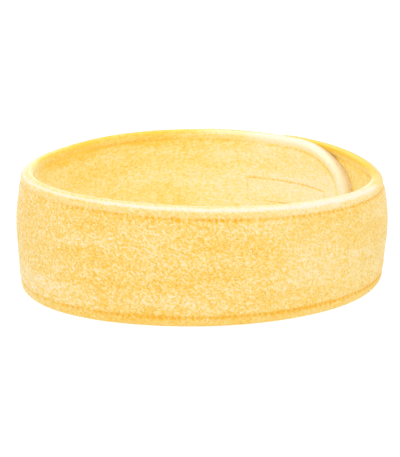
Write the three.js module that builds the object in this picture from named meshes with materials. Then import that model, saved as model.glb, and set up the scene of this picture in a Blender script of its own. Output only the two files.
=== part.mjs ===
// Adjustable terry headband, closed into a ring by hook-and-loop tape and standing on its lower edge.
//
// The strap is two terry panels, sewn together, turned and topstitched near the edge. It runs once round the
// ring and overlaps itself at the back right: the hook end lies inside, the outer end with the loop tape lies
// outside. Everything is drawn in strap coordinates and wrapped onto the ring:
//   turn    degrees along the strap, seen from above; 0 is +X, 90 the back (+Y), -90 the front (-Y)
//   height  millimetres above the surface that the ring stands on
//   depth   millimetres outwards from the outline of the outer face, so negative is towards the head
import * as THREE from "three";

// Plan outline of the outer face at its edges: a mean radius and a few gentle waves, in millimetres.
const RING_RADIUS = 91;
const OVAL = 0.8;
const SKEW = 4.2;
const FLAT_FRONT = 2.5;
const BACK_CORNERS = 0.7;
const SIDE_WAVE = 0.55;

// Strap.
const MEAN_WIDTH = 57.4;
const WIDTH_SWING = 4.5;
const WIDEST_TURN = -138;
const WALL_BULGE = 4;
const PANEL_THICKNESS = 2.3;
const PANEL_GAP = 0.3;
const STRAP_THICKNESS = 2 * PANEL_THICKNESS + PANEL_GAP;
const EDGE_ROUNDING = 1.2;
const ROUND_END_LENGTH = 45;

// Where the strap starts and ends, and where its bodies meet.
const OUTER_TIP_TURN = 84;
const HOOK_TIP_TURN = -334;
const OUTER_END_HINGE_TURN = 18;
const RIGHT_SIDE_HINGE_TURN = -32;
const HOOK_END_HINGE_TURN = -262;
const HINGE_GAP = 0.4;

// Hook and loop tapes.
const TAPE_THICKNESS = 0.8;
const TAPE_WIDTH = 16;
const TAPE_CENTRE_HEIGHT = 20.4;
const TAPE_SEAM_INSET = 1.5;
const HOOK_TAPE_TURNS = [-321, -285];
const LOOP_TAPE_TURNS = [20, 70];

// Overlap: the hook end steps in and the outer end steps out, so that both tapes fit between them.
const CLEARANCE = 0.3;
const OVERLAP_STEP = STRAP_THICKNESS + 2 * TAPE_THICKNESS + 3 * CLEARANCE;
const OUTER_END_LIFT = 4;
const OUTER_END_RAMP_TURNS = [6, 68];
const HOOK_END_RAMP_TURNS = [-252, -292];

// Threads.
const TOPSTITCH_INSET = 5.5;
const TIP_STITCH_INSETS = { outer_end: 5.5, hook_end: 8.5 };
const THREAD_WIDTH = 0.9;
const THREAD_DEPTH = 0.5;
const THREAD_CLEARANCE = 0.4;

// Facets.
const STEP_DEGREES = 5;
const ROUND_END_STEPS = 9;
const LAST_END_ANGLE = 0.16;
const HEIGHT_STEPS = 6;

const RADIANS = Math.PI / 180;
const TERRY = { color: 0xfbdc86, roughness: 0.95, metalness: 0 };
const INNER_TERRY = { color: 0xfcdf8c, roughness: 0.95, metalness: 0 };
const THREAD = { color: 0xf3cd7a, roughness: 0.7, metalness: 0 };
const TAPE = { color: 0xf4e2b4, roughness: 0.85, metalness: 0 };

function outlineRadius(angle) {
  return (
    RING_RADIUS +
    OVAL * Math.cos(2 * angle) +
    SKEW * Math.sin(2 * angle) -
    FLAT_FRONT * Math.sin(3 * angle) +
    BACK_CORNERS * Math.sin(4 * angle) -
    SIDE_WAVE * Math.sin(5 * angle)
  );
}

function outlineSlope(angle) {
  return (
    -2 * OVAL * Math.sin(2 * angle) +
    2 * SKEW * Math.cos(2 * angle) -
    3 * FLAT_FRONT * Math.cos(3 * angle) +
    4 * BACK_CORNERS * Math.cos(4 * angle) -
    5 * SIDE_WAVE * Math.cos(5 * angle)
  );
}

// The point of the outline at a turn, and the unit vector that points straight out of it.
function outlineAt(turn) {
  const angle = turn * RADIANS;
  const radius = outlineRadius(angle);
  const slope = outlineSlope(angle);
  const cos = Math.cos(angle);
  const sin = Math.sin(angle);
  const point = new THREE.Vector2(radius * cos, radius * sin);
  const outward = new THREE.Vector2(slope * sin + radius * cos, -slope * cos + radius * sin).normalize();
  return { point, outward };
}

// Millimetres of outline for one degree of turn.
function millimetresPerDegree(turn) {
  const angle = turn * RADIANS;
  return Math.hypot(outlineRadius(angle), outlineSlope(angle)) * RADIANS;
}

function ramp(turn, [from, to]) {
  return THREE.MathUtils.smoothstep((turn - from) / (to - from), 0, 1);
}

// How far the strap leaves the outline to make room for the overlap, outwards positive. The hook end steps
// in by what the outer end above it doesn't step out.
function overlapStep(turn) {
  if (turn > OUTER_END_RAMP_TURNS[0]) {
    return OUTER_END_LIFT * ramp(turn, OUTER_END_RAMP_TURNS);
  }
  const outerEndAbove = OUTER_END_LIFT * ramp(turn + 360, OUTER_END_RAMP_TURNS);
  return (outerEndAbove - OVERLAP_STEP) * ramp(turn, HOOK_END_RAMP_TURNS);
}

function strapWidth(turn) {
  return MEAN_WIDTH + WIDTH_SWING * Math.cos((turn - WIDEST_TURN) * RADIANS);
}

// The wall bows outwards between its two edges.
function wallBulge(turn, height) {
  const across = (2 * height) / strapWidth(turn) - 1;
  return WALL_BULGE * (1 - across * across);
}

function wrap(turn, height, depth) {
  const { point, outward } = outlineAt(turn);
  const out = depth + overlapStep(turn) + wallBulge(turn, height);
  return [point.x + outward.x * out, point.y + outward.y * out, height];
}

// Closed solid from rings of points in strap coordinates, all with the same count. Open chains get a flat
// cap at each end; closed chains join their last ring to their first.
function solidFromRings(rings, closed) {
  const positions = [];
  const indices = [];
  const count = rings[0].length;
  for (const ring of rings) {
    for (const [turn, height, depth] of ring) {
      positions.push(...wrap(turn, height, depth));
    }
  }
  const spans = closed ? rings.length : rings.length - 1;
  for (let i = 0; i < spans; i++) {
    const here = i * count;
    const next = ((i + 1) % rings.length) * count;
    for (let j = 0; j < count; j++) {
      const k = (j + 1) % count;
      indices.push(here + j, next + j, next + k);
      indices.push(here + j, next + k, here + k);
    }
  }
  if (!closed) {
    addCap(indices, 0, count, false);
    addCap(indices, (rings.length - 1) * count, count, true);
  }
  const geometry = new THREE.BufferGeometry();
  geometry.setAttribute("position", new THREE.BufferAttribute(new Float32Array(positions), 3));
  geometry.setIndex(orientedOutwards(positions, indices));
  geometry.computeVertexNormals();
  return geometry;
}

// Cap of a ring whose two halves mirror each other, as a strip between them.
function addCap(indices, start, count, last) {
  for (let j = 0; j < count / 2 - 1; j++) {
    const a = start + j;
    const b = start + j + 1;
    const c = start + count - 2 - j;
    const d = start + count - 1 - j;
    const triangles = [[a, b, c], [a, c, d]];
    for (const [p, q, r] of triangles) {
      indices.push(...(last ? [p, r, q] : [p, q, r]));
    }
  }
}

function orientedOutwards(positions, indices) {
  let volume = 0;
  for (let i = 0; i < indices.length; i += 3) {
    const [a, b, c] = [0, 1, 2].map((n) => new THREE.Vector3().fromArray(positions, 3 * indices[i + n]));
    volume += a.dot(b.cross(c));
  }
  if (volume >= 0) {
    return indices;
  }
  return indices.map((_, i) => indices[i - (i % 3) + [0, 2, 1][i % 3]]);
}

// Turns and half-heights of the strap between two turns. A round end is a half-ellipse.
function strapStations(from, to, tip) {
  const stations = [];
  const straightEnd = tip === null ? to : tip + roundEndDegrees(tip) * Math.sign(from - tip);
  const steps = Math.max(1, Math.round(Math.abs(straightEnd - from) / STEP_DEGREES));
  for (let i = 0; i <= steps; i++) {
    const turn = from + ((straightEnd - from) * i) / steps;
    stations.push({ turn, share: 1 });
  }
  if (tip !== null) {
    for (let i = 1; i <= ROUND_END_STEPS; i++) {
      const angle = Math.PI / 2 + ((LAST_END_ANGLE - Math.PI / 2) * i) / ROUND_END_STEPS;
      stations.push({ turn: straightEnd + (tip - straightEnd) * Math.cos(angle), share: Math.sin(angle) });
    }
  }
  return stations;
}

function roundEndDegrees(tip) {
  return ROUND_END_LENGTH / millimetresPerDegree(tip);
}

// One terry panel. Its section has a rolled edge on the outside of the strap and is flat where the other
// panel lies against it. Both faces run through the same heights, so that the cap between them is a strip.
function panelSection({ turn, share }, face, seam) {
  const half = strapWidth(turn) / 2;
  const reach = half * share;
  const inset = Math.min(EDGE_ROUNDING, reach / 3);
  const rolled = face + Math.sign(seam - face) * EDGE_ROUNDING;
  const heights = [half - reach];
  for (let i = 0; i <= HEIGHT_STEPS; i++) {
    heights.push(half + (reach - inset) * ((2 * i) / HEIGHT_STEPS - 1));
  }
  heights.push(half + reach);
  const last = heights.length - 1;
  const out = heights.map((height, i) => [turn, height, i === 0 || i === last ? rolled : face]);
  const back = heights.map((height) => [turn, height, seam]).reverse();
  return [...out, ...back];
}

function terryPanel(name, stations, face, seam, look) {
  const rings = stations.map((station) => panelSection(station, face, seam));
  return namedMesh(name, solidFromRings(rings, false), look);
}

// A flat row that follows a path of [turn, height] points and lies between two depths.
function rowAlong(path, width, near, far, closed) {
  const rings = path.map((point, i) => {
    const before = path[closed ? (i + path.length - 1) % path.length : Math.max(0, i - 1)];
    const after = path[closed ? (i + 1) % path.length : Math.min(path.length - 1, i + 1)];
    const scale = millimetresPerDegree(point[0]);
    const along = new THREE.Vector2((after[0] - before[0]) * scale, after[1] - before[1]).normalize();
    const side = [(-along.y * width) / 2 / scale, (along.x * width) / 2];
    return [
      [point[0] - side[0], point[1] - side[1], near],
      [point[0] + side[0], point[1] + side[1], near],
      [point[0] + side[0], point[1] + side[1], far],
      [point[0] - side[0], point[1] - side[1], far],
    ];
  });
  return solidFromRings(rings, closed);
}

function edgeRowPath(stations, upper) {
  return stations.map(({ turn }) => {
    const width = strapWidth(turn);
    return [turn, upper ? width - TOPSTITCH_INSET : TOPSTITCH_INSET];
  });
}

// Topstitching of an end: out along the lower edge, round the tip at its own inset and back along the upper.
function endRowPath(stations, tipInset) {
  const lower = [];
  const upper = [];
  const tip = stations[stations.length - 1].turn;
  const straightEnd = stations[stations.length - 1 - ROUND_END_STEPS].turn;
  const insetDegrees = (tipInset / millimetresPerDegree(tip)) * Math.sign(straightEnd - tip);
  const rowTip = tip + insetDegrees;
  for (const { turn, share } of stations) {
    const half = strapWidth(turn) / 2;
    const forward = (turn - straightEnd) / (tip - straightEnd);
    const rowTurn = forward > 0 ? straightEnd + (rowTip - straightEnd) * forward : turn;
    const reach = (half - TOPSTITCH_INSET) * share;
    lower.push([rowTurn, half - reach]);
    upper.unshift([rowTurn, half + reach]);
  }
  return [...lower, ...upper];
}

function tapePath([from, to], inset) {
  const scale = millimetresPerDegree((from + to) / 2);
  const start = from + inset / scale;
  const end = to - inset / scale;
  const low = TAPE_CENTRE_HEIGHT - TAPE_WIDTH / 2 + inset;
  const high = TAPE_CENTRE_HEIGHT + TAPE_WIDTH / 2 - inset;
  const steps = Math.round((end - start) / STEP_DEGREES);
  const path = [];
  for (let i = 0; i <= steps; i++) {
    path.push([start + ((end - start) * i) / steps, low]);
  }
  path.push([end, (low + high) / 2]);
  for (let i = steps; i >= 0; i--) {
    path.push([start + ((end - start) * i) / steps, high]);
  }
  path.push([start, (low + high) / 2]);
  return path;
}

function tapeSolid([from, to], near, far) {
  const steps = Math.round((to - from) / STEP_DEGREES);
  const low = TAPE_CENTRE_HEIGHT - TAPE_WIDTH / 2;
  const high = TAPE_CENTRE_HEIGHT + TAPE_WIDTH / 2;
  const rings = [];
  for (let i = 0; i <= steps; i++) {
    const turn = from + ((to - from) * i) / steps;
    const middle = (low + high) / 2;
    rings.push([
      [turn, low, near],
      [turn, middle, near],
      [turn, high, near],
      [turn, high, far],
      [turn, middle, far],
      [turn, low, far],
    ]);
  }
  return solidFromRings(rings, false);
}

function namedMesh(name, geometry, look) {
  const mesh = new THREE.Mesh(geometry, new THREE.MeshStandardMaterial(look));
  mesh.name = name;
  return mesh;
}

const OUTER_FACE = 0;
const OUTER_SEAM = -PANEL_THICKNESS;
const INNER_SEAM = OUTER_SEAM - PANEL_GAP;
const INNER_FACE = -STRAP_THICKNESS;
const OUTER_THREAD = [OUTER_FACE + THREAD_CLEARANCE, OUTER_FACE + THREAD_CLEARANCE + THREAD_DEPTH];
const INNER_THREAD = [INNER_FACE - THREAD_CLEARANCE, INNER_FACE - THREAD_CLEARANCE - THREAD_DEPTH];

// The part of the strap that belongs to one moving body: both panels and the topstitching on both faces.
function strapSegment(segment, from, to, tip) {
  const stations = strapStations(from, to, tip);
  const pieces = [
    terryPanel(`outer_panel_${segment}`, stations, OUTER_FACE, OUTER_SEAM, TERRY),
    terryPanel(`inner_panel_${segment}`, stations, INNER_FACE, INNER_SEAM, INNER_TERRY),
  ];
  for (const [side, depths] of [["outer", OUTER_THREAD], ["inner", INNER_THREAD]]) {
    if (tip !== null) {
      const path = endRowPath(stations, TIP_STITCH_INSETS[segment]);
      const row = rowAlong(path, THREAD_WIDTH, ...depths, false);
      pieces.push(namedMesh(`${side}_topstitch_${segment}`, row, THREAD));
      continue;
    }
    for (const [edge, upper] of [["upper", true], ["lower", false]]) {
      const row = rowAlong(edgeRowPath(stations, upper), THREAD_WIDTH, ...depths, false);
      pieces.push(namedMesh(`${side}_topstitch_${edge}_${segment}`, row, THREAD));
    }
  }
  return pieces;
}

// Half the gap between two bodies, in degrees at the turn where they meet.
function halfGap(turn) {
  return HINGE_GAP / 2 / millimetresPerDegree(turn);
}

// Hook tape on the outer face of the hook end, with its stitching seen on the inner face.
function hookTape() {
  const near = OUTER_FACE + CLEARANCE;
  const stitching = rowAlong(tapePath(HOOK_TAPE_TURNS, TAPE_SEAM_INSET), THREAD_WIDTH, ...INNER_THREAD, true);
  return [
    namedMesh("hook_tape", tapeSolid(HOOK_TAPE_TURNS, near, near + TAPE_THICKNESS), TAPE),
    namedMesh("hook_tape_stitching", stitching, THREAD),
  ];
}

// Loop tape on the inner face of the outer end, with its stitching seen on the outer face.
function loopTape() {
  const near = INNER_FACE - CLEARANCE;
  const stitching = rowAlong(tapePath(LOOP_TAPE_TURNS, TAPE_SEAM_INSET), THREAD_WIDTH, ...OUTER_THREAD, true);
  return [
    namedMesh("loop_tape", tapeSolid(LOOP_TAPE_TURNS, near, near - TAPE_THICKNESS), TAPE),
    namedMesh("loop_tape_stitching", stitching, THREAD),
  ];
}

const rightHinge = RIGHT_SIDE_HINGE_TURN;
const outerHinge = OUTER_END_HINGE_TURN;
const hookHinge = HOOK_END_HINGE_TURN;
const pieces = [
  ...strapSegment("front", rightHinge - halfGap(rightHinge), hookHinge + halfGap(hookHinge), null),
  ...strapSegment("right_side", outerHinge - halfGap(outerHinge), rightHinge + halfGap(rightHinge), null),
  ...strapSegment("outer_end", outerHinge + halfGap(outerHinge), OUTER_TIP_TURN, OUTER_TIP_TURN),
  ...strapSegment("hook_end", hookHinge - halfGap(hookHinge), HOOK_TIP_TURN, HOOK_TIP_TURN),
  ...hookTape(),
  ...loopTape(),
];

const headband = new THREE.Group();
headband.add(...pieces);

// The origin is the middle of the ring's footprint, at the height of the surface that it stands on.
const box = new THREE.Box3().setFromObject(headband);
headband.position.set(-(box.min.x + box.max.x) / 2, -(box.min.y + box.max.y) / 2, 0);
headband.updateMatrixWorld(true);

export default headband;
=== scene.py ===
"""Terry spa headband: fine fabric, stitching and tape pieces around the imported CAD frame."""
import math
from typing import NamedTuple

import bpy
import numpy as np
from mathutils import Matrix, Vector


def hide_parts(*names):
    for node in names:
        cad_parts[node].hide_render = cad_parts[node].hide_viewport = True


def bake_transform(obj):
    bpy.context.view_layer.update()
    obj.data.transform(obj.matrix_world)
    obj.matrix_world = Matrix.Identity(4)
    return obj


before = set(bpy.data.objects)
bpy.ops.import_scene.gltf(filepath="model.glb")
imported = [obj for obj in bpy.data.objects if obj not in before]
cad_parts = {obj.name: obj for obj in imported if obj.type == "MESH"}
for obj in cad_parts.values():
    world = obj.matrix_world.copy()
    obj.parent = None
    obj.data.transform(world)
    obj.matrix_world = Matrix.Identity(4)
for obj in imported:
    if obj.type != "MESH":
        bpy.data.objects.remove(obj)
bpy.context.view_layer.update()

MM = 0.001

# Plan outline of the outer face and the strap on it, in millimetres and degrees, as in the CAD model.
RING_RADIUS = 91.0
OVAL = 0.8
SKEW = 4.2
FLAT_FRONT = 2.5
BACK_CORNERS = 0.7
SIDE_WAVE = 0.55
MEAN_WIDTH = 57.4
WIDTH_SWING = 4.5
WIDEST_TURN = -138.0
WALL_BULGE = 4.0
STRAP_THICKNESS = 4.9
ROUND_END_LENGTH = 45.0
OVERLAP_STEP = 7.4
OUTER_END_LIFT = 4.0
OUTER_END_RAMP = (6.0, 68.0)
HOOK_END_RAMP = (-252.0, -292.0)

# How far the lower edge spreads at the front left and front right, and how far the upper edge lifts at the
# back. Each is millimetres, the turn of its middle and its reach in degrees. The lower edge spreads up to a
# share of the strap's width.
LEFT_FLARE = (3.0, -140.0, 28.0)
RIGHT_FLARE = (2.6, -36.0, 32.0)
FLARE_SHARE = 0.4
BACK_LIFT = (1.1, -285.0, 25.0)

# Turns, in degrees along the strap, where things begin and end.
OUTER_TIP = 84.0
HOOK_TIP = -334.0
OUTER_END_HINGE = 18.0
RIGHT_SIDE_HINGE = -32.0
HOOK_END_HINGE = -262.0

# Tapes, in millimetres and turns.
HOOK_TAPE_TURNS = (-321.0, -285.0)
LOOP_TAPE_TURNS = (20.0, 70.0)
TAPE_WIDTH = 16.0
TAPE_CENTRE_HEIGHT = 20.4
TAPE_SEAM_INSET = 1.5
TAPE_BED_MARGIN = 0.6
TAPE_CLEARANCE = 0.1
TAPE_WEB = 0.52
WEB_PITCH = 0.5
WEB_RIB = 0.06
PILE_MARGIN = 1.0
PILE_JITTER = 0.15
HOOK_PITCH = 1.15
LOOP_PITCH = 1.05
LOOP_WIDTHS = (0.3, 0.55)
LOOP_RISES = (0.3, 0.5)
LOOP_RADIUS = 0.055


class Stretch(NamedTuple):
    """A stretch that the fabric is drawn in, and the hinge that it crosses."""
    start: float  # turn
    end: float  # turn
    near: str  # body that it follows before the hinge
    far: str  # body that it follows beyond the hinge
    hinge: float  # turn
    sense: int  # 1 where the far body lies at the higher turns, otherwise -1
    panels: tuple  # CAD panels that it stands for on each face
    topstitches: tuple  # CAD rows of stitching that it stands for on each face


STRETCHES = {
    "outer_stretch": Stretch(
        OUTER_TIP, -7.0, "right_side", "outer_end", OUTER_END_HINGE, 1,
        ("panel_outer_end", "panel_right_side"),
        ("topstitch_outer_end", "topstitch_upper_right_side", "topstitch_lower_right_side"),
    ),
    "front_stretch": Stretch(
        -7.0, -172.0, "front", "right_side", RIGHT_SIDE_HINGE, 1,
        ("panel_front",),
        ("topstitch_upper_front", "topstitch_lower_front"),
    ),
    "hook_stretch": Stretch(
        -172.0, HOOK_TIP, "front", "hook_end", HOOK_END_HINGE, -1,
        ("panel_hook_end",),
        ("topstitch_hook_end",),
    ),
}

# Fabric mesh: millimetres, rows of points across the lining, and shares of the map and of the thickness.
GRID_PITCH = 0.42
EDGE_RADIUS = 2.3
EDGE_EXTRA = EDGE_RADIUS * (math.pi / 2 - 1)
LINING_ROWS = 10
LINING_SHARE_OF_MAP = 0.1
PANEL_SPLIT = 0.03
HOOK_TIP_SEAM_ROLL = 0.24

# Where a face lies against the other end, in millimetres: how far it swells, how much more it swells above
# the tape, and the heights between which that sets in. Then the share of that at the hook tip, and how square
# the edge is, from 0 to 1.
OVERLAP_PLUMPNESS = 0.45
UPPER_PLUMPNESS = 0.7
UPPER_PLUMP_HEIGHTS = (29.0, 31.5)
HOOK_TIP_PLUMP_SHARE = 0.45
OVERLAP_EDGE_SQUARENESS = 0.6

# Stitching, in millimetres. A negative sink is how far a stitch lies behind the face.
TOPSTITCH_INSET = 5.5
TIP_STITCH_INSET = {OUTER_TIP: 5.5, HOOK_TIP: 8.5}
STITCH_PITCH = 3.0
STITCH_LENGTH = 2.3
STITCH_ARCH = 0.16
STITCH_POINTS = 9
THREAD_RADIUS = 0.24
TOPSTITCH_SINK = -0.5
TAPE_STITCH_SINK = -0.2
TAPE_SEAM_WIDTH = 0.65
TAPE_SEAM_DEPTH = 0.35
HEM_FADE = 1.5

# Points on the path of the topstitching, round an end and along a straight edge.
END_SEAM_POINTS = 90
STRAIGHT_SEAM_POINTS = 698

# Turns between which the cloth, or the light and shade painted into it, changes, from where the change starts
# to where it is complete.
SEAM_ROLL_TURNS = (-300.0, -316.0)
HOOK_TIP_PLUMP_TURNS = (-322.0, -326.0)
EVEN_LOOPS_TURNS = (-95.0, -50.0)
LIT_HEM_TURNS = (-150.0, -110.0)
NARROW_HIGHLIGHT_TURNS = (-95.0, -145.0)
LIT_FLAP_TURNS = (-284.0, -300.0)
LIT_HOOK_RIM_TURNS = (-262.0, -272.0)
LIT_HOOK_END_TURNS = (-258.0, -288.0)
SHADED_OUTER_END_TURNS = (-15.0, -1.0)

# Parts of the strap, from turn to turn, where the cloth differs or where light and shade are painted into it.
SLACK_LEFT = (-225.0, -130.0)
HIGHLIT_FRONT = (-206.0, -11.0)
HIGHLIT_CORNER = (-218.0, -158.0)
SHADED_BACK = (-298.0, -172.0)
SHADED_BACK_RIM = (-276.0, -172.0)
SHADED_INSIDE_LEFT = (-245.0, -165.0)
SHEEN_RIGHT = (-85.0, -10.0)
SHEEN_LEFT = (-192.0, -118.0)
SHADED_LOWER_GROOVE = (-118.0, -20.0)

# Turn and height of each patch that is deeper in colour, its reach along the strap in degrees and across it
# in millimetres, and how much deeper in colour it looks. The low one on the back wall is painted shade there.
DEEP_PATCHES = (
    (-225.0, 39.0, 16.0, 5.0, 0.2),
    (-285.0, 36.0, 15.0, 10.0, 0.13),
    (-255.0, 15.0, 14.0, 5.0, 0.16),
)


class Fabric(NamedTuple):
    """The cloth of one face. Lengths are in millimetres, tones in shares of the way from deep to pale."""
    seed: int  # of its random draws
    pile: float  # height of the loops
    loop_pitch: float
    loop_stretch: float  # how much longer the loops are along the strap than across it
    loop_contrast: float  # how much one loop's tone differs from another's
    groove: float  # depth of the groove that the topstitching pulls in
    groove_width: float
    groove_shade: float  # painted shade in the groove: how much deeper in colour it is
    hole_shade: float  # painted shade in the needle holes: how much deeper in colour they are
    rim_highlight: float  # painted highlight: how much paler the upper edge is
    rim_highlight_at: float  # middle of the painted highlight line, in from the edge
    rim_highlight_width: float
    corner_highlight_reach: float  # how far in from the edge the painted highlight at the left corner reaches
    hem_highlight: float  # painted highlight: how much paler the upper hem is
    flap_highlight: float  # painted highlight: how much paler the upper hem of the hook end is
    lit_hook_rim: float  # painted light: how much paler the rim of the hook end is, lifting the shade beside the other end
    lit_hook_end: float  # painted light: how much paler the whole hook end is
    sheen_on_sides: float  # painted sheen: how much paler the right side is, and half as much as the left side is
    outer_end_shade: float  # painted shade: how much deeper in colour the outer end is
    edge_shade: float  # how strongly the painted shade along the back's upper edge and the outer end's rim shows, 0 to 1
    inside_left_shade: float  # painted shade: how much deeper in colour the back left is
    deep_patches: float  # how strongly the deeper patches show, 0 to 1
    tape: tuple  # turns of the tape on this face
    seam: tuple  # turns of the tape on the other face, whose stitching shows on this one
    overlap: tuple  # turns between which the face comes to lie against the other end of the strap


OUTER_FABRIC = Fabric(
    seed=11, pile=0.46, loop_pitch=0.7, loop_stretch=1.35, loop_contrast=0.56,
    groove=0.45, groove_width=0.7, groove_shade=0.0, hole_shade=0.4,
    rim_highlight=0.57, rim_highlight_at=1.0, rim_highlight_width=0.67, corner_highlight_reach=3.8, hem_highlight=0.15,
    flap_highlight=0.28, lit_hook_rim=0.2, lit_hook_end=0.0, sheen_on_sides=0.06,
    outer_end_shade=0.0, edge_shade=0.5, inside_left_shade=0.0, deep_patches=0.0,
    tape=HOOK_TAPE_TURNS, seam=LOOP_TAPE_TURNS, overlap=(-260.0, -275.0),
)
INNER_FABRIC = Fabric(
    seed=47, pile=0.3, loop_pitch=0.8, loop_stretch=2.8, loop_contrast=0.3,
    groove=0.4, groove_width=1.8, groove_shade=0.11, hole_shade=0.12,
    rim_highlight=0.45, rim_highlight_at=-0.2, rim_highlight_width=0.5, corner_highlight_reach=1.0, hem_highlight=0.0,
    flap_highlight=0.17, lit_hook_rim=0.22, lit_hook_end=0.21, sheen_on_sides=0.0,
    outer_end_shade=0.11, edge_shade=1.0, inside_left_shade=0.06, deep_patches=1.0,
    tape=LOOP_TAPE_TURNS, seam=HOOK_TAPE_TURNS, overlap=(8.0, 22.0),
)

# Colours of the terry at four tones: between the loops, where shade is painted, on their sides, on their
# tips, where a highlight is painted, and at the palest painted highlights, on the rims.
TERRY_TONES = (0.05, 0.45, 0.8, 1.0)
OUTER_COLOURS = ((0.80, 0.42, 0.03), (0.81, 0.56, 0.145), (0.83, 0.68, 0.37), (0.88, 0.71, 0.58))
INNER_COLOURS = ((0.88, 0.56, 0.065), (0.88, 0.705, 0.255), (0.89, 0.785, 0.52), (0.91, 0.81, 0.62))
TERRY_SHEEN = 0.7
TERRY_SHEEN_ROUGHNESS = 0.3
YARN_SHEEN_ROUGHNESS = 0.4
SHEEN_TINT = (1.0, 0.97, 0.9)

# Stage, in metres: each light's place, aim, width and watts, and the camera, whose lens is in millimetres.
WORLD_LEVEL = 1.03
FLOOR_SIZE = 6
FLOOR_ALBEDO = 0.3
FLOOR_GLOW = 0.85
LIGHTS = {
    "top": ((0.0, 0.25, 1.3), (0.0, 0.0, 0.0), 1.2, 6.0),
    "front": ((0.0, -1.3, 0.9), (0.0, 0.0, 0.03), 1.6, 4.5),
}
CAMERA_DISTANCE = 0.85
CAMERA_ELEVATION = math.radians(17)
CAMERA_LENS = 143.7
CAMERA_MIDDLE_HEIGHT = 0.03
CAMERA_AIM_SHIFT = (-0.00297, -0.00207, -0.0068)


# ---------------------------------------------------------------- strap shape

def smooth(x):
    """0 up to 0 and 1 beyond 1, soft between them."""
    x = np.clip(x, 0.0, 1.0)
    return x * x * (3 - 2 * x)


def ramp(x, start, end):
    """0 up to start and 1 beyond end, soft between them. The end may be lower than the start."""
    return smooth((x - start) / (end - start))


def window(turn, turns, soft=14.0):
    """1 between two turns and 0 beyond them, changing over the first and last soft degrees between them."""
    low, high = turns
    return smooth((turn - low) / soft) * smooth((high - turn) / soft)


def bell(x, centre, width):
    return np.exp(-(((x - centre) / width) ** 2))


def swell(turn, amount, centre, reach):
    return amount * bell(turn, centre, reach)


def outline_radius(angle):
    """Radius of the plan outline of the outer face."""
    return (
        RING_RADIUS
        + OVAL * np.cos(2 * angle)
        + SKEW * np.sin(2 * angle)
        - FLAT_FRONT * np.sin(3 * angle)
        + BACK_CORNERS * np.sin(4 * angle)
        - SIDE_WAVE * np.sin(5 * angle)
    )


def outline_slope(angle):
    """Change of that radius for each radian."""
    return (
        -2 * OVAL * np.sin(2 * angle)
        + 2 * SKEW * np.cos(2 * angle)
        - 3 * FLAT_FRONT * np.cos(3 * angle)
        + 4 * BACK_CORNERS * np.cos(4 * angle)
        - 5 * SIDE_WAVE * np.cos(5 * angle)
    )


def mm_per_degree(turn):
    """Millimetres along the outline in a degree of turn."""
    angle = np.radians(turn)
    return np.hypot(outline_radius(angle), outline_slope(angle)) * math.pi / 180


def strap_width(turn):
    return MEAN_WIDTH + WIDTH_SWING * np.cos(np.radians(turn - WIDEST_TURN))


def outer_end_lift(turn):
    return OUTER_END_LIFT * ramp(turn, *OUTER_END_RAMP)


def overlap_step(turn):
    """Millimetres that the strap leaves its outline: outwards at the outer end, inwards at the hook end."""
    step_in = (outer_end_lift(turn + 360) - OVERLAP_STEP) * ramp(turn, *HOOK_END_RAMP)
    return np.where(turn > OUTER_END_RAMP[0], outer_end_lift(turn), step_in)


def wall_bulge(turn, height):
    across = 2 * height / strap_width(turn) - 1
    return WALL_BULGE * (1 - across * across)


def lower_flare(turn, height):
    """The lower edge spreads a little where the band rests at its front left and front right."""
    low = smooth(1 - height / (FLARE_SHARE * strap_width(turn)))
    return low * (swell(turn, *LEFT_FLARE) + swell(turn, *RIGHT_FLARE))


def upper_lift(turn, height):
    """The upper edge stands a little higher along the back."""
    return swell(turn, *BACK_LIFT) * (height / MEAN_WIDTH) ** 2


def unplaced(turn, height, depth):
    """Place in plan of strap coordinates, before centring. Depth counts outwards from the outer face."""
    angle = np.radians(turn)
    radius, slope = outline_radius(angle), outline_slope(angle)
    cos, sin = np.cos(angle), np.sin(angle)
    out_x, out_y = slope * sin + radius * cos, -slope * cos + radius * sin
    length = np.hypot(out_x, out_y)
    out = depth + overlap_step(turn) + wall_bulge(turn, height) + lower_flare(turn, height)
    return radius * cos + out_x / length * out, radius * sin + out_y / length * out


def plan_offset():
    """The CAD model is centred on its footprint, so the outline moves by the middle of its own box."""
    turns = np.linspace(HOOK_TIP, OUTER_TIP, 4000)
    x, y = unplaced(turns, strap_width(turns) / 2, 0.0)
    return np.array([(x.min() + x.max()) / 2, (y.min() + y.max()) / 2])


OFFSET = plan_offset()


def wrap(turn, height, depth):
    """Points in metres, in the row frame, of strap coordinates in degrees and millimetres."""
    x, y = unplaced(turn, height, depth)
    return np.stack([x - OFFSET[0], y - OFFSET[1], height + upper_lift(turn, height) + 0 * x], axis=-1) * MM


def distance_along(turn):
    """Millimetres along the strap from turn 0."""
    table = np.linspace(HOOK_TIP - 5, OUTER_TIP + 5, 2000)
    steps = mm_per_degree(table)
    length = np.concatenate([[0], np.cumsum((steps[1:] + steps[:-1]) / 2 * np.diff(table))])
    length = length - np.interp(0, table, length)
    return np.interp(turn, table, length)


# ---------------------------------------------------------------- noise and pile

def lattice_noise(x, y, size, seed):
    """Smooth noise from -1 to 1 whose features are about size across."""
    random = np.random.default_rng(seed)
    u, v = x / size, y / size
    i, j = np.floor(u).astype(int), np.floor(v).astype(int)
    i0, j0 = i.min(), j.min()
    table = random.uniform(-1, 1, (i.max() - i0 + 2, j.max() - j0 + 2))
    fu, fv = smooth(u - i), smooth(v - j)
    a, b = i - i0, j - j0
    low = table[a, b] * (1 - fu) + table[a + 1, b] * fu
    high = table[a, b + 1] * (1 - fu) + table[a + 1, b + 1] * fu
    return low * (1 - fv) + high * fv


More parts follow.
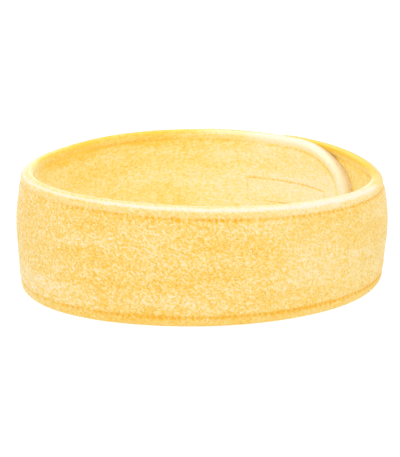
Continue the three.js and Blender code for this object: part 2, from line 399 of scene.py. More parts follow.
def loop_pile(x, y, pitch, stretch, seed):
    """Crowded little loops, leaning oval domes on a jittered lattice: their height and each one's own tone,
    both 0 to 1. A stretch over 1 draws them out along x."""
    random = np.random.default_rng(seed)
    x = x / stretch
    i, j = np.floor(x / pitch).astype(int), np.floor(y / pitch).astype(int)
    i0, j0 = i.min() - 1, j.min() - 1
    shape = (i.max() - i0 + 2, j.max() - j0 + 2)
    centre_x = random.uniform(0.1, 0.9, shape)
    centre_y = random.uniform(0.1, 0.9, shape)
    lean = random.uniform(0, math.pi, shape)
    tall = random.uniform(0.55, 1.0, shape)
    own_tone = random.uniform(0, 1, shape)
    height, tone = np.zeros_like(x), np.full_like(x, 0.3)
    for di in (-1, 0, 1):
        for dj in (-1, 0, 1):
            a, b = i + di - i0, j + dj - j0
            dx = x / pitch - (i + di) - centre_x[a, b]
            dy = y / pitch - (j + dj) - centre_y[a, b]
            cos, sin = np.cos(lean[a, b]), np.sin(lean[a, b])
            along, across = dx * cos + dy * sin, dy * cos - dx * sin
            dome = 1 - (along / 0.8) ** 2 - (across / 0.6) ** 2
            reach = tall[a, b] * np.sqrt(np.clip(dome, 0, 1))
            higher = reach > height
            height = np.where(higher, reach, height)
            tone = np.where(higher, own_tone[a, b], tone)
    return height, tone


# ---------------------------------------------------------------- fabric panels

def ellipse_distance(x, y, long_axis, half):
    """About how far inside an ellipse points lie, and the two parts of the direction out of it."""
    share = np.sqrt((x / long_axis) ** 2 + (y / half) ** 2)
    slope_x, slope_y = x / long_axis**2, y / half**2
    slope = np.maximum(np.hypot(slope_x, slope_y), 1e-9)
    return (1 - share) * share / slope, slope_x / slope, slope_y / slope


def strap_grid():
    """Turn, half width, height from the middle, distances in from the unrolled edge and from the
    topstitching, and the two parts of the direction to the edge, for a grid that fills the strap, round ends
    included.

    The first index runs from the outer tip to the hook tip, the second from the lower to the upper edge."""
    rows = int(round((MEAN_WIDTH + 2 * EDGE_EXTRA) / GRID_PITCH))
    v = np.linspace(-1, 1, rows + 1)
    parts = []
    for tip, sign in ((OUTER_TIP, -1), (HOOK_TIP, 1)):
        per_degree = mm_per_degree(tip)
        straight_end = tip + sign * ROUND_END_LENGTH / per_degree
        columns = int(round(ROUND_END_LENGTH / GRID_PITCH))
        u = np.linspace(0, 1, columns + 1)[:, None]
        long_axis = ROUND_END_LENGTH + EDGE_EXTRA
        x = long_axis * u * np.sqrt(1 - v * v / 2)
        turn = straight_end - sign * x / per_degree
        half = strap_width(turn) / 2 + EDGE_EXTRA
        y = half * v * np.sqrt(1 - u * u / 2)
        inside, out_x, out_y = ellipse_distance(x, y, long_axis, half)
        stitch_half = half - EDGE_EXTRA - TOPSTITCH_INSET
        within, _, _ = ellipse_distance(x, y, ROUND_END_LENGTH - TIP_STITCH_INSET[tip], stitch_half)
        parts.append((turn, half - EDGE_EXTRA, y, inside, within, -sign * out_x, out_y))
    outer_end, hook_end = parts
    first, last = outer_end[0][0, 0], hook_end[0][0, 0]
    columns = int(round((first - last) * mm_per_degree(0) / GRID_PITCH))
    turn = np.linspace(first, last, columns + 1)[1:-1, None] + 0 * v
    half = strap_width(turn) / 2
    y = (half + EDGE_EXTRA) * v
    within = half - TOPSTITCH_INSET - np.abs(y)
    straight = (turn, half, y, half + EDGE_EXTRA - np.abs(y), within, 0 * y, np.sign(y))
    outer_end = tuple(a[::-1] for a in outer_end)
    return tuple(np.concatenate(group) for group in zip(outer_end, straight, hook_end))


def rolled(grid, fabric):
    """Rolls the edge of the grid over: turn, height, fall behind the face, distances in from the edge and
    from the topstitching, and the place along and across the fabric before it was rolled. Where a face lies
    against the other end the roll is nearly square."""
    turn, half, y, inside, within, out_along, out_across = grid
    angle = np.clip(inside / EDGE_RADIUS, 0, math.pi / 2)
    power = 1 - OVERLAP_EDGE_SQUARENESS * facing_overlap(turn, fabric)
    fall = EDGE_RADIUS * (1 - np.sin(angle) ** power)
    rolled_in = inside - EDGE_EXTRA
    on_roll = EDGE_RADIUS * (1 - np.clip(np.cos(angle), 0, 1) ** power)
    edge = np.where(angle < math.pi / 2, on_roll, rolled_in)
    shift = rolled_in - edge
    unrolled = distance_along(turn), half + y
    turn = turn + out_along * shift / mm_per_degree(turn)
    return turn, half + y + out_across * shift, fall, edge, within, unrolled


def tape_distance(turn, height, turns, inset):
    """Millimetres outside the rectangle of a tape, negative inside it."""
    along = distance_along(turn)
    start, end = distance_along(np.array(turns))
    out_along = np.abs(along - (start + end) / 2) - ((end - start) / 2 - inset)
    out_across = np.abs(height - TAPE_CENTRE_HEIGHT) - (TAPE_WIDTH / 2 - inset)
    beyond = np.hypot(np.maximum(out_along, 0), np.maximum(out_across, 0))
    return beyond + np.minimum(np.maximum(out_along, out_across), 0)


def slack_left(turn):
    """How hard the topstitching pulls in: less around the left side."""
    return 1 - 0.5 * window(turn, SLACK_LEFT, 25)


def on_hem(within):
    """1 on the hem, outside the topstitching, 0 inside it."""
    return smooth(-within / HEM_FADE)


def facing_overlap(turn, fabric):
    """1 where a face lies against the other end of the strap, 0 elsewhere."""
    return ramp(turn, *fabric.overlap)


def edge_light_and_shade(turn, height, edge, within, fabric):
    """How much paler the edge is, all painted light and shade: a painted highlight along the upper edge of
    the front, at the left corner and on the hook end, painted shade, deeper in colour, along the back and on
    the outer end."""
    upper = smooth((height / strap_width(turn) - 0.5) / 0.2)
    # Painted highlight on the upper hem of the front.
    hem = fabric.hem_highlight * on_hem(within) * ramp(turn, *LIT_HEM_TURNS)
    # Painted highlight along the rolled upper edge of the front, narrower towards the left, and on the left
    # corner.
    width = fabric.rim_highlight_width * (1 - 0.5 * ramp(turn, *NARROW_HIGHLIGHT_TURNS))
    painted_rim_light = window(turn, HIGHLIT_FRONT) * (fabric.rim_highlight * bell(edge, fabric.rim_highlight_at, width) + hem)
    corner = window(turn, HIGHLIT_CORNER, 22) * fabric.rim_highlight * smooth((fabric.corner_highlight_reach - edge) / 1.6)
    painted_rim_light = np.maximum(painted_rim_light, corner)
    # Painted highlight on the upper hem of the hook end.
    hook_end = fabric.flap_highlight * ramp(turn, *LIT_FLAP_TURNS) * smooth((-0.4 - within) / 3)
    # Painted light on the rim of the hook end, lifting the shade in the corner beside the other end.
    lit_hook_rim = fabric.lit_hook_rim * ramp(turn, *LIT_HOOK_RIM_TURNS) * smooth((2.4 - edge) / 1.2)
    # Painted shade along the upper edge and the rim of the back.
    back = -0.21 * window(turn, SHADED_BACK, 18) * smooth((13 - edge) / 5)
    back = back - 0.14 * window(turn, SHADED_BACK_RIM, 12) * smooth((3 - edge) / 2)
    # Painted shade on the outer end, stronger at its rim.
    pressed_pile_and_shade = fabric.outer_end_shade + 0.38 * fabric.edge_shade * smooth((3.5 - edge) / 2)
    outer_end = -ramp(turn, *SHADED_OUTER_END_TURNS) * pressed_pile_and_shade
    return upper * (painted_rim_light + hook_end + fabric.edge_shade * back) + lit_hook_rim + outer_end


def painted_light_along_strap(turn, fabric):
    """Slow change of tone along the strap, all painted light: a painted lighter hook end, painted sheen on
    the sides and painted shade on the back left.
    """
    # Painted light on the hook end.
    tip = fabric.lit_hook_end * ramp(turn, *LIT_HOOK_END_TURNS)
    # Painted shade on the inside of the back left.
    left = fabric.inside_left_shade * window(turn, SHADED_INSIDE_LEFT, 25)
    # Painted sheen on the right and left sides.
    sides = window(turn, SHEEN_RIGHT, 25) + 2.0 * window(turn, SHEEN_LEFT, 25)
    return tip - left + fabric.sheen_on_sides * sides


def deep_patch_tone(turn, height):
    """Broad patches deeper in colour. The low patch on the back wall is painted shade at the foot of the
    wall.
    """
    patches = 0.0
    for middle, level, reach, rise, deeper in DEEP_PATCHES:
        patches = patches - deeper * bell(turn, middle, reach) * bell(height, level, rise)
    return patches


def lower_hem_shade(turn, height, within):
    """Painted shade: the lower hem is a little deeper in colour, and its groove deeper still towards the
    right.
    """
    lower = smooth((0.5 - height / strap_width(turn)) / 0.2)
    groove = bell(within, 0.2, 0.9) * (0.12 + 0.14 * window(turn, SHADED_LOWER_GROOVE, 20))
    return -lower * (0.07 * on_hem(within) + groove)


def needle_holes(turn, height, within):
    """1 at the needle holes between the stitches of the straight rows, 0 away from them."""
    turns, heights = seam_path()
    middles, length = stitch_middles(turns, heights)
    upper = slice(END_SEAM_POINTS, END_SEAM_POINTS + STRAIGHT_SEAM_POINTS)
    lower = slice(-STRAIGHT_SEAM_POINTS, None)
    along_upper = np.interp(turn, turns[upper], length[upper])
    along_lower = np.interp(turn, turns[lower][::-1], length[lower][::-1])
    along = np.where(height > strap_width(turn) / 2, along_upper, along_lower)
    phase = along * len(middles) / length[-1]
    from_hole = np.abs(phase - np.round(phase)) * STITCH_PITCH
    return bell(from_hole, 0, 0.75) * bell(within, 0.1, 0.8) * slack_left(turn)


def padding(turn, height, edge, within, fabric):
    """Millimetres that the cloth swells beside its edge and its topstitching, and in soft waves between
    them. Where it lies against the other end it fills the space around the tape."""
    seed, along = fabric.seed, distance_along(turn)
    overlap = facing_overlap(turn, fabric)
    hem = 0.42 * (1 - 0.6 * overlap) * bell(edge, 2.9 - 1.6 * overlap, 1.6)
    shoulder = 0.25 * bell(within, 2.9, 1.8)
    waves = 0.42 * lattice_noise(along, height, 38.0, seed + 2)
    waves = waves + 0.2 * lattice_noise(along, height, 13.0, seed + 3)
    waves = waves * smooth(edge / 12) * (1 - 0.8 * overlap)
    at_tip = HOOK_TIP_PLUMP_SHARE * ramp(turn, *HOOK_TIP_PLUMP_TURNS)
    off_tape = np.maximum(ramp(height, *UPPER_PLUMP_HEIGHTS), at_tip)
    waves = waves + overlap * (OVERLAP_PLUMPNESS + UPPER_PLUMPNESS * off_tape)
    return hem + shoulder + waves


def fabric_relief(turn, height, edge, within, unrolled, fabric):
    """Millimetres that a face stands proud, and its tone from 0, deep with painted shade between the loops,
    to 1, pale tips with a painted highlight, with painted light and shade near edges, in grooves and along
    the strap.
    """
    seed, along = fabric.seed, distance_along(turn)
    uneven = 1 + 0.3 * lattice_noise(along, 0 * height, 3.0, seed)
    uneven = uneven + 0.3 * lattice_noise(along, height, 14.0, seed + 1)
    stitched = bell(within, 0, fabric.groove_width) * slack_left(turn)
    seam = bell(tape_distance(turn, height, fabric.seam, TAPE_SEAM_INSET), 0, TAPE_SEAM_WIDTH)
    under_tape = smooth(-tape_distance(turn, height, fabric.tape, -TAPE_BED_MARGIN) / TAPE_BED_MARGIN)
    loops, own_tone = loop_pile(*unrolled, fabric.loop_pitch, fabric.loop_stretch, seed + 4)
    pressed_pile_and_shade = (1 - 0.6 * stitched) * (1 - 0.5 * seam)
    relief = padding(turn, height, edge, within, fabric) + fabric.pile * loops * pressed_pile_and_shade
    relief = relief - fabric.groove * uneven * stitched - TAPE_SEAM_DEPTH * uneven * seam
    contrast = fabric.loop_contrast * (1 - 0.35 * ramp(turn, *EVEN_LOOPS_TURNS))
    contrast = contrast * (1 - 0.5 * on_hem(within))
    patches = 0.4 * lattice_noise(along / 2.5, height, 3.0, seed + 6)
    patches = patches + 0.9 * lattice_noise(along / 4, height, 7.0, seed + 7)
    fibres = lattice_noise(*unrolled, 0.8, seed + 8)
    # Tone from the loop height: painted shade between the loops and a painted highlight on their tips, with
    # each loop's own tone and random patches.
    tone = 0.5 + 0.26 * (loops - 0.62) + contrast * (own_tone - 0.5) + 0.11 * patches + 0.14 * fibres
    upper_row = bell(height, TAPE_CENTRE_HEIGHT + TAPE_WIDTH / 2 - TAPE_SEAM_INSET, 1.2)
    # Painted shade in the grooves of the topstitching and of the tape's stitching, most along its upper row.
    tone = tone - fabric.groove_shade * stitched - (0.04 + 0.26 * upper_row * uneven) * seam
    # Painted light and shade near the edges and along the strap, painted shade on the lower hem, and the
    # deeper patches.
    tone = tone + edge_light_and_shade(turn, height, edge, within, fabric) + painted_light_along_strap(turn, fabric)
    tone = tone + lower_hem_shade(turn, height, within) + fabric.deep_patches * deep_patch_tone(turn, height)
    # Painted shade in the needle holes.
    tone = tone - fabric.hole_shade * uneven * needle_holes(turn, height, within)
    return relief * (1 - under_tape), np.clip(tone, 0, 1)


def seam_depth(turn):
    """Depth of the seam between the panels: mid-edge, and rolled towards the outer face at the hook tip."""
    return -STRAP_THICKNESS * (0.5 - HOOK_TIP_SEAM_ROLL * ramp(turn, *SEAM_ROLL_TURNS))


def grid_normals(points, sign):
    """Unit normals of a grid of points, out of the face for the face's sign."""
    along = np.gradient(points, axis=0)
    across = np.gradient(points, axis=1)
    normal = np.cross(along, across) * sign
    return normal / np.maximum(np.linalg.norm(normal, axis=2, keepdims=True), 1e-12)


def panel_surface(grid, side):
    """Turns, points, normals, lining points and tones of one panel over the whole strap."""
    sign = -1 if side == "outer" else 1
    fabric = OUTER_FABRIC if side == "outer" else INNER_FABRIC
    turn, height, fall, edge, within, unrolled = rolled(grid, fabric)
    face = 0.0 if side == "outer" else -STRAP_THICKNESS
    relief, tone = fabric_relief(turn, height, edge, within, unrolled, fabric)
    overlap = facing_overlap(turn, fabric)
    raised = smooth(edge / 1.2 + 0.25 + 0.6 * overlap) * (1 - overlap * (fall / EDGE_RADIUS) ** 2)
    depth = face + sign * (fall - relief * raised)
    middle = seam_depth(turn) - sign * PANEL_SPLIT
    rim = np.ones(turn.shape, bool)
    rim[1:-1, 1:-1] = False
    depth = np.where(rim, middle, depth)
    points = wrap(turn, height, depth)
    lining = wrap(turn, height, middle)
    return turn, points, grid_normals(points, sign), lining, tone


def grid_quads(index):
    """Faces between neighbours in a grid of vertex numbers."""
    corners = index[:-1, :-1], index[:-1, 1:], index[1:, 1:], index[1:, :-1]
    return np.stack(corners, axis=-1).reshape(-1, 4)


def panel_mesh(name, surface, first, last, turned):
    """Closed mesh of the columns first to last: the visible face on the fine grid, the lining on a coarse
    one, and a cut face where the stretch meets its neighbour. A turned panel faces the other way."""
    _, points, normals, lining, tone = (a[first:last + 1] for a in surface)
    columns, rows = tone.shape
    coarse = np.unique(np.linspace(0, rows - 1, LINING_ROWS + 1).round().astype(int))
    fine = np.arange(columns * rows).reshape(columns, rows)
    quads = grid_quads(fine)
    at_tip = {0: first == 0, columns - 1: last == surface[0].shape[0] - 1}
    back = np.full((columns, rows), -1)
    back[:, 0], back[:, -1] = fine[:, 0], fine[:, -1]
    for column, rounded in at_tip.items():
        if rounded:
            back[column] = fine[column]
    picked = np.array([(c, r) for c in range(columns) for r in coarse if back[c, r] < 0])
    back[picked[:, 0], picked[:, 1]] = columns * rows + np.arange(len(picked))
    polygons = lining_polygons(fine, back, coarse, at_tip)
    if turned:
        quads = quads[:, ::-1]
        polygons = [p[::-1] for p in polygons]
    place = np.meshgrid(np.linspace(0, 1, columns), np.linspace(0, 1, rows), indexing="ij")
    place = np.stack(place, axis=-1)
    place = np.concatenate([place.reshape(-1, 2), place[picked[:, 0], picked[:, 1]]])
    return build_mesh(
        name,
        np.concatenate([points.reshape(-1, 3), lining[picked[:, 0], picked[:, 1]]]),
        quads,
        polygons,
        normals=np.concatenate([normals.reshape(-1, 3), -normals[picked[:, 0], picked[:, 1]]]),
        tone=np.concatenate([tone.reshape(-1), np.full(len(picked), 0.5)]),
        place=place,
    )


def lining_polygons(fine, back, coarse, at_tip):
    """Faces of the lining and the cut faces. At a round tip the lining meets every point of the rim."""
    last_column = fine.shape[0] - 1
    begin = 1 if at_tip[0] else 0
    end = last_column - 1 if at_tip[last_column] else last_column
    polygons = []
    for low, high in zip(coarse[:-1], coarse[1:]):
        left, right = back[:-1], back[1:]
        strip = np.stack([left[:, low], right[:, low], right[:, high], left[:, high]], axis=-1)
        polygons.extend(strip[begin:end].tolist())
        if at_tip[0]:
            rim = fine[0, low + 1:high + 1][::-1]
            polygons.append([left[0, low], right[0, low], right[0, high], *rim])
        if at_tip[last_column]:
            c = last_column - 1
            polygons.append([left[c, low], *fine[c + 1, low:high + 1], left[c, high]])
    for column, rounded in at_tip.items():
        if not rounded:
            cut = fine[column].tolist() + back[column, coarse[1:-1]].tolist()[::-1]
            polygons.append(cut[::-1] if column == 0 else cut)
    return polygons


def build_mesh(name, verts, quads, polygons=(), normals=None, tone=None, place=None):
    """Mesh object from arrays. place is each vertex's place on the face's map, from 0 to 1 both ways."""
    mesh = bpy.data.meshes.new(name)
    sizes = np.concatenate([np.full(len(quads), 4), np.array([len(p) for p in polygons], int)])
    sizes = sizes.astype(np.int32)
    corners = [np.asarray(quads).reshape(-1)] + [np.array(p) for p in polygons]
    corners = np.concatenate(corners).astype(np.int32)
    mesh.vertices.add(len(verts))
    mesh.vertices.foreach_set("co", np.ascontiguousarray(verts, np.float32).reshape(-1))
    mesh.loops.add(len(corners))
    mesh.loops.foreach_set("vertex_index", corners)
    mesh.polygons.add(len(sizes))
    mesh.polygons.foreach_set("loop_start", np.concatenate([[0], np.cumsum(sizes)[:-1]]).astype(np.int32))
    mesh.polygons.foreach_set("loop_total", sizes)
    mesh.update(calc_edges=True)
    mesh.shade_smooth()
    if tone is not None:
        attribute = mesh.attributes.new("tone", "FLOAT", "POINT")
        attribute.data.foreach_set("value", np.ascontiguousarray(tone, np.float32))
    if place is not None:
        spots = place[corners]
        fine = np.arange(len(corners)) < 4 * len(quads)
        face_share = 1 - LINING_SHARE_OF_MAP
        lining_row = face_share + spots[:, 1] * LINING_SHARE_OF_MAP
        spots[:, 1] = np.where(fine, spots[:, 1] * face_share, lining_row)
        layer = mesh.uv_layers.new(name="OFBake")
        layer.data.foreach_set("uv", np.ascontiguousarray(spots, np.float32).reshape(-1))
    if normals is not None:
        mesh.normals_split_custom_set_from_vertices(normals.tolist())
    piece = bpy.data.objects.new(name, mesh)
    bpy.context.scene.collection.objects.link(piece)
    return piece


def bend_with(piece):
    """Bakes the piece's placement into its mesh."""
    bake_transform(piece)


def make_panels():
    """Outer and inner panel of each stretch, which meet at the seam along the edge."""
    grid = strap_grid()
    for side, look in (("outer", OUTER_TERRY), ("inner", INNER_TERRY)):
        surface = panel_surface(grid, side)
        turn = surface[0][:, surface[0].shape[1] // 2]
        for name, stretch in STRETCHES.items():
            first = int(np.argmin(np.abs(turn - stretch.start)))
            last = int(np.argmin(np.abs(turn - stretch.end)))
            piece = panel_mesh(f"{side}_panel_{name}", surface, first, last, side == "inner")
            piece.data.materials.append(look)
            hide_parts(*(f"{side}_{node}" for node in stretch.panels))
            bend_with(piece)


# ---------------------------------------------------------------- tubes: stitches, hooks and loops

def tubes(name, turns, heights, depths, radii, sides):
    """Many little capped tubes in one mesh. The arrays are tubes by points along each one."""
    count, points = turns.shape
    centre = wrap(turns, heights, depths)
    tangent = np.gradient(centre, axis=1)
    tangent /= np.maximum(np.linalg.norm(tangent, axis=2, keepdims=True), 1e-12)
    outward = wrap(turns, heights, depths + 1.0) - centre
    outward /= np.linalg.norm(outward, axis=2, keepdims=True)
    side = np.cross(tangent, outward)
    weak = np.linalg.norm(side, axis=2, keepdims=True) < 0.2
    upright = np.cross(tangent, np.array([0.0, 0.0, 1.0]))
    side = np.where(weak, upright, side)
    side /= np.maximum(np.linalg.norm(side, axis=2, keepdims=True), 1e-12)
    up = np.cross(side, tangent)
    angle = np.arange(sides) * 2 * math.pi / sides
    ring = (
        side[:, :, None] * np.cos(angle)[None, None, :, None]
        + up[:, :, None] * np.sin(angle)[None, None, :, None]
    )
    verts = centre[:, :, None] + ring * (radii * MM)[:, :, None, None]
    index = np.arange(count * points * sides).reshape(count, points, sides)
    after = np.roll(index, -1, axis=2)
    quads = np.stack([index[:, :-1], index[:, 1:], after[:, 1:], after[:, :-1]], axis=-1)
    caps = index[:, 0].tolist() + index[:, -1, ::-1].tolist()
    return build_mesh(name, verts.reshape(-1, 3), quads.reshape(-1, 4), caps)


def stitch_middles(turns, heights):
    """Distances along a path of strap coordinates: of the middles of its stitches, and of its own points."""
    steps = np.hypot(np.diff(distance_along(turns)), np.diff(heights))
    length = np.concatenate([[0], np.cumsum(steps)])
    count = int(length[-1] / STITCH_PITCH)
    return (np.arange(count) + 0.5) * length[-1] / count, length


def end_seam(tip, sign):
    """Topstitching round one end, from the lower to the upper edge. Its sign leads from the tip inwards."""
    per_degree = mm_per_degree(tip)
    reach = ROUND_END_LENGTH - TIP_STITCH_INSET[tip]
    angle = np.linspace(-math.pi / 2, math.pi / 2, END_SEAM_POINTS)
    turn = tip + sign * (ROUND_END_LENGTH - reach * np.cos(angle)) / per_degree
    half = strap_width(turn) / 2
    return turn, half + (half - TOPSTITCH_INSET) * np.sin(angle)


def seam_path():
    """Closed path of the topstitching: hook end, upper edge, outer end and back along the lower edge."""
    hook_turn, hook_height = end_seam(HOOK_TIP, 1)
    outer_turn, outer_height = end_seam(OUTER_TIP, -1)
    sweep = np.linspace(hook_turn[-1], outer_turn[-1], STRAIGHT_SEAM_POINTS + 2)[1:-1]
    turns = np.concatenate([hook_turn, sweep, outer_turn[::-1], sweep[::-1]])
    upper, lower = strap_width(sweep) - TOPSTITCH_INSET, np.full_like(sweep, TOPSTITCH_INSET)
    heights = np.concatenate([hook_height, upper, outer_height[::-1], lower])
    return turns, heights


def tape_seam_path(turns):
    """Closed path of the stitching that holds a tape, a rectangle just inside its edge."""
    per_degree = mm_per_degree(sum(turns) / 2)
    start, end = turns[0] + TAPE_SEAM_INSET / per_degree, turns[1] - TAPE_SEAM_INSET / per_degree
    reach = TAPE_WIDTH / 2 - TAPE_SEAM_INSET
    along = np.linspace(start, end, 120)
    across = np.linspace(TAPE_CENTRE_HEIGHT - reach, TAPE_CENTRE_HEIGHT + reach, 30)
    path_turns = [along, np.full_like(across, end), along[::-1], np.full_like(across, start)]
    path_heights = [np.full_like(along, across[0]), across, np.full_like(along, across[-1]), across[::-1]]
    return np.concatenate(path_turns), np.concatenate(path_heights)


def stitches(name, path, face, sign, sink, between=(HOOK_TIP, OUTER_TIP)):
    """Separate arched stitches along a path on one face, those whose middle lies between two turns."""
    middles, length = stitch_middles(*path)
    t = np.linspace(-1, 1, STITCH_POINTS)
    where = middles[:, None] + t * STITCH_LENGTH / 2
    turn, height = (np.interp(where % length[-1], length, points) for points in path)
    low, high = between
    middle_turn = turn[:, STITCH_POINTS // 2]
    wanted = (middle_turn > low) & (middle_turn <= high)
    turn, height = turn[wanted], height[wanted]
    depth = face + sign * (sink + STITCH_ARCH * (1 - 2.2 * t**4)) + 0 * turn
    radii = THREAD_RADIUS * np.sqrt(1 - 0.75 * t**6) + 0 * turn
    piece = tubes(name, turn, height, depth, radii, sides=6)
    piece.data.materials.append(THREAD)
    return piece


def make_topstitching():
    """Topstitching of each stretch on both faces."""
    path = seam_path()
    for side, face, sign in (("outer", 0.0, 1), ("inner", -STRAP_THICKNESS, -1)):
        for name, stretch in STRETCHES.items():
            between = (stretch.end, stretch.start)
            piece = stitches(f"{side}_topstitch_{name}", path, face, sign, TOPSTITCH_SINK, between)
            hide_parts(*(f"{side}_{node}" for node in stretch.topstitches))
            bend_with(piece)


# ---------------------------------------------------------------- tapes

def tape_web(name, turns, face, sign, look):
    """Woven ground of a tape: a thin closed strip whose threads stand up in a fine checker."""
    per_degree = mm_per_degree(sum(turns) / 2)
    columns = int(round((turns[1] - turns[0]) * per_degree / WEB_PITCH))
    rows = int(round(TAPE_WIDTH / WEB_PITCH))
    turn = np.linspace(*turns, columns + 1)[:, None] + np.zeros(rows + 1)
    height = TAPE_CENTRE_HEIGHT + np.linspace(-0.5, 0.5, rows + 1) * TAPE_WIDTH + 0 * turn
    checker = (np.indices(turn.shape).sum(0) % 2) * WEB_RIB
    near = face + sign * TAPE_CLEARANCE
    top = wrap(turn, height, near + sign * (TAPE_WEB + checker))
    under = wrap(turn, height, near)
    count = turn.size
    front = np.arange(count).reshape(turn.shape)
    rear = front + count
    border = np.concatenate([front[:-1, 0], front[-1, :-1], front[:0:-1, -1], front[0, :0:-1]])
    after = np.roll(border, -1)
    sides = np.stack([border, after, after + count, border + count], axis=-1)
    quads = np.concatenate([grid_quads(front), grid_quads(rear)[:, [0, 3, 2, 1]], sides])
    if sign > 0:
        quads = quads[:, ::-1]
    piece = build_mesh(name, np.concatenate([top.reshape(-1, 3), under.reshape(-1, 3)]), quads)
    piece.data.materials.append(look)
    return piece


def lattice_on_tape(turns, pitch, seed):
    """Places of hooks or loops on a tape, in turns and heights, a little jittered."""
    random = np.random.default_rng(seed)
    per_degree = mm_per_degree(sum(turns) / 2)
    start, end = turns[0] + PILE_MARGIN / per_degree, turns[1] - PILE_MARGIN / per_degree
    along = np.arange(start, end, pitch / per_degree)
    across = np.arange(-TAPE_WIDTH / 2 + PILE_MARGIN, TAPE_WIDTH / 2 - PILE_MARGIN + 0.01, pitch)
    turn, height = np.meshgrid(along, across, indexing="ij")
    jitter = random.uniform(-PILE_JITTER, PILE_JITTER, (2, turn.size))
    turn = turn.reshape(-1) + jitter[0] * pitch / per_degree
    height = height.reshape(-1) + TAPE_CENTRE_HEIGHT + jitter[1] * pitch
    return turn, height, random, per_degree


def make_hook_tape():
    """Web and hooks. A hook rises out of the web, leans over to one side and points down again."""
    web = tape_web("hook_tape_web", HOOK_TAPE_TURNS, 0.0, 1, TAPE_LOOK)
    turn, height, random, per_degree = lattice_on_tape(HOOK_TAPE_TURNS, HOOK_PITCH, seed=5)
    side = np.where(random.random(turn.size) < 0.5, -1.0, 1.0)
    reach = np.array([0.0, 0.02, 0.1, 0.26, 0.38, 0.4])
    rise = np.array([-0.1, 0.2, 0.4, 0.46, 0.36, 0.26])
    radii = np.array([0.1, 0.09, 0.08, 0.075, 0.07, 0.055])
    base = TAPE_CLEARANCE + TAPE_WEB
    hooks = tubes(
        "hook_tape_hooks",
        turn[:, None] + side[:, None] * reach / per_degree,
        height[:, None] + 0 * reach,
        base + rise + 0 * turn[:, None],
        radii + 0 * turn[:, None],
        sides=5,
    )
    hooks.data.materials.append(HOOK_LOOK)
    return web, hooks


def make_loop_tape():
    """Web and loops. A loop is a half ring that stands in the web and faces any way."""
    web = tape_web("loop_tape_web", LOOP_TAPE_TURNS, -STRAP_THICKNESS, -1, TAPE_LOOK)
    turn, height, random, per_degree = lattice_on_tape(LOOP_TAPE_TURNS, LOOP_PITCH, seed=6)
    heading = random.uniform(0, 2 * math.pi, turn.size)[:, None]
    width = random.uniform(*LOOP_WIDTHS, turn.size)[:, None]
    rise = random.uniform(*LOOP_RISES, turn.size)[:, None]
    angle = np.linspace(0, math.pi, 7)
    across = -np.cos(angle) * width
    base = -STRAP_THICKNESS - TAPE_CLEARANCE - TAPE_WEB
    loops = tubes(
        "loop_tape_loops",
        turn[:, None] + np.cos(heading) * across / per_degree,
        height[:, None] + np.sin(heading) * across,
        base + 0.06 - np.sin(angle) * rise,
        LOOP_RADIUS + 0 * across,
        sides=4,
    )
    loops.data.materials.append(LOOP_LOOK)
    return web, loops


def make_tapes():
    """Both tapes, and the stitching that holds each one and shows on the other face."""
    makers = (
        ("hook_tape", make_hook_tape, "hook_stretch", HOOK_TAPE_TURNS, -STRAP_THICKNESS, -1),
        ("loop_tape", make_loop_tape, "outer_stretch", LOOP_TAPE_TURNS, 0.0, 1),
    )
    for name, make, stretch, turns, seen_face, sign in makers:
        web, pile = make()
        for piece in (web, pile):
            bend_with(piece)
        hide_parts(name)
        row = stitches(f"{name}_seam", tape_seam_path(turns), seen_face, sign, TAPE_STITCH_SINK)
        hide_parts(f"{name}_stitching")
        bend_with(row)


# ---------------------------------------------------------------- materials

def new_material(name, roughness, specular=0.2):
    """A material with its nodes, its links and its shader."""
    material = bpy.data.materials.new(name)
    material.use_nodes = True
    shader = material.node_tree.nodes["Principled BSDF"]
    shader.inputs["Roughness"].default_value = roughness
    shader.inputs["Specular IOR Level"].default_value = specular
    return material, material.node_tree.nodes, material.node_tree.links, shader


def give_sheen(shader, weight, roughness):
    shader.inputs["Sheen Weight"].default_value = weight
    shader.inputs["Sheen Roughness"].default_value = roughness
    shader.inputs["Sheen Tint"].default_value = (*SHEEN_TINT, 1)


def noise_in_place(nodes, links, size_mm, detail=2.0):
    """Noise fixed to the object, with features about size_mm across."""
    place = nodes.new("ShaderNodeTexCoord")
    noise = nodes.new("ShaderNodeTexNoise")
    noise.inputs["Scale"].default_value = 1 / (size_mm * MM)
    noise.inputs["Detail"].default_value = detail
    links.new(place.outputs["Object"], noise.inputs["Vector"])
    return noise.outputs["Fac"]


def colour_by(nodes, links, shader, value, positions, colours):
    """The base colour runs through the colours as the value passes the positions, which are two or more."""
    colour_ramp = nodes.new("ShaderNodeValToRGB")
    stops = colour_ramp.color_ramp.elements
    stops[0].position = positions[0]
    stops[1].position = positions[-1]
    for position in positions[1:-1]:
        stops.new(position)
    for stop, colour in zip(stops, colours):
        stop.color = (*colour, 1)
    links.new(value, colour_ramp.inputs["Fac"])
    links.new(colour_ramp.outputs["Color"], shader.inputs["Base Color"])


def raise_by(nodes, links, shader, value, strength, height_mm):
    """A bump of the height where the value is 1."""
    bump = nodes.new("ShaderNodeBump")
    bump.inputs["Strength"].default_value = strength
    bump.inputs["Distance"].default_value = height_mm * MM
    links.new(value, bump.inputs["Height"])
    links.new(bump.outputs["Normal"], shader.inputs["Normal"])


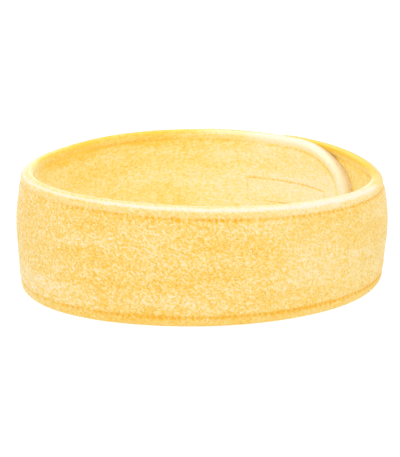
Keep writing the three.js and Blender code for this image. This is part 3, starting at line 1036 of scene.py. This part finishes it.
def terry_material(name, colours):
    """Looped cotton: deep yellow between the loops and paler on their tips, both painted into the tone, with
    fine fibres and a sheen.
    """
    material, nodes, links, shader = new_material(name, roughness=0.92, specular=0.1)
    give_sheen(shader, TERRY_SHEEN, TERRY_SHEEN_ROUGHNESS)
    tone = nodes.new("ShaderNodeAttribute")
    tone.attribute_name = "tone"
    fibres = noise_in_place(nodes, links, size_mm=0.45, detail=3.0)
    spread = nodes.new("ShaderNodeMath")
    spread.operation = "MULTIPLY_ADD"
    spread.inputs[1].default_value = 0.5
    spread.inputs[2].default_value = -0.25
    links.new(fibres, spread.inputs[0])
    total = nodes.new("ShaderNodeMath")
    total.operation = "ADD"
    links.new(tone.outputs["Fac"], total.inputs[0])
    links.new(spread.outputs["Value"], total.inputs[1])
    colour_by(nodes, links, shader, total.outputs["Value"], TERRY_TONES, colours)
    raise_by(nodes, links, shader, fibres, strength=0.35, height_mm=0.15)
    return material


def yarn_material(name, dark, light, roughness, size_mm, sheen=0.1):
    """Thread or tape yarn: two close tones in a fine mottle, with a slight bump."""
    material, nodes, links, shader = new_material(name, roughness)
    give_sheen(shader, sheen, YARN_SHEEN_ROUGHNESS)
    mottle = noise_in_place(nodes, links, size_mm)
    colour_by(nodes, links, shader, mottle, (0.3, 0.7), (dark, light))
    raise_by(nodes, links, shader, mottle, strength=0.3, height_mm=0.05)
    return material


OUTER_TERRY = terry_material("outer_terry", OUTER_COLOURS)
INNER_TERRY = terry_material("inner_terry", INNER_COLOURS)
THREAD = yarn_material("thread", (0.92, 0.50, 0.08), (0.94, 0.60, 0.16), roughness=0.6, size_mm=0.3)
TAPE_LOOK = yarn_material("tape_web", (0.93, 0.74, 0.32), (0.95, 0.82, 0.42), roughness=0.7, size_mm=0.5)
HOOK_LOOK = yarn_material(
    "tape_hooks", (0.94, 0.80, 0.42), (0.96, 0.86, 0.52), roughness=0.35, size_mm=0.6, sheen=0.0
)
LOOP_LOOK = yarn_material("tape_loops", (0.95, 0.80, 0.40), (0.97, 0.88, 0.52), roughness=0.8, size_mm=0.4)

make_panels()
make_topstitching()
make_tapes()


# ---------------------------------------------------------------- stage

def make_stage():
    bpy.ops.mesh.primitive_plane_add(size=FLOOR_SIZE, location=(0, 0, 0))
    floor = bpy.context.object
    floor.name = "floor"
    material, _, _, shader = new_material("floor", 0.8)
    shader.inputs["Base Color"].default_value = (FLOOR_ALBEDO, FLOOR_ALBEDO, FLOOR_ALBEDO, 1)
    shader.inputs["Emission Color"].default_value = (1, 1, 1, 1)
    shader.inputs["Emission Strength"].default_value = FLOOR_GLOW
    floor.data.materials.append(material)
    world = bpy.data.worlds.new("studio")
    bpy.context.scene.world = world
    world.use_nodes = True
    background = world.node_tree.nodes["Background"]
    background.inputs["Color"].default_value = (1, 1, 1, 1)
    background.inputs["Strength"].default_value = WORLD_LEVEL


def area_light(name, place, aim, width, watts):
    light = bpy.data.lights.new(name, "AREA")
    light.size = width
    light.energy = watts
    lamp = bpy.data.objects.new(name, light)
    bpy.context.scene.collection.objects.link(lamp)
    lamp.location = place
    lamp.rotation_euler = (Vector(aim) - Vector(place)).to_track_quat("-Z", "Y").to_euler()


def make_camera():
    camera = bpy.data.cameras.new("camera")
    camera.sensor_fit = "HORIZONTAL"
    camera.sensor_width = 36
    camera.lens = CAMERA_LENS
    camera.clip_end = 20
    eye = bpy.data.objects.new("camera", camera)
    bpy.context.scene.collection.objects.link(eye)
    middle = Vector((-OFFSET[0] * MM, -OFFSET[1] * MM, CAMERA_MIDDLE_HEIGHT))
    place = middle + CAMERA_DISTANCE * Vector((0, -math.cos(CAMERA_ELEVATION), math.sin(CAMERA_ELEVATION)))
    aim = middle + Vector(CAMERA_AIM_SHIFT)
    eye.location = place
    eye.rotation_euler = (aim - place).to_track_quat("-Z", "Y").to_euler()
    bpy.context.scene.camera = eye


make_stage()
for light_name, light_values in LIGHTS.items():
    area_light(light_name, *light_values)
make_camera()
bpy.context.scene.view_settings.view_transform = "Standard"
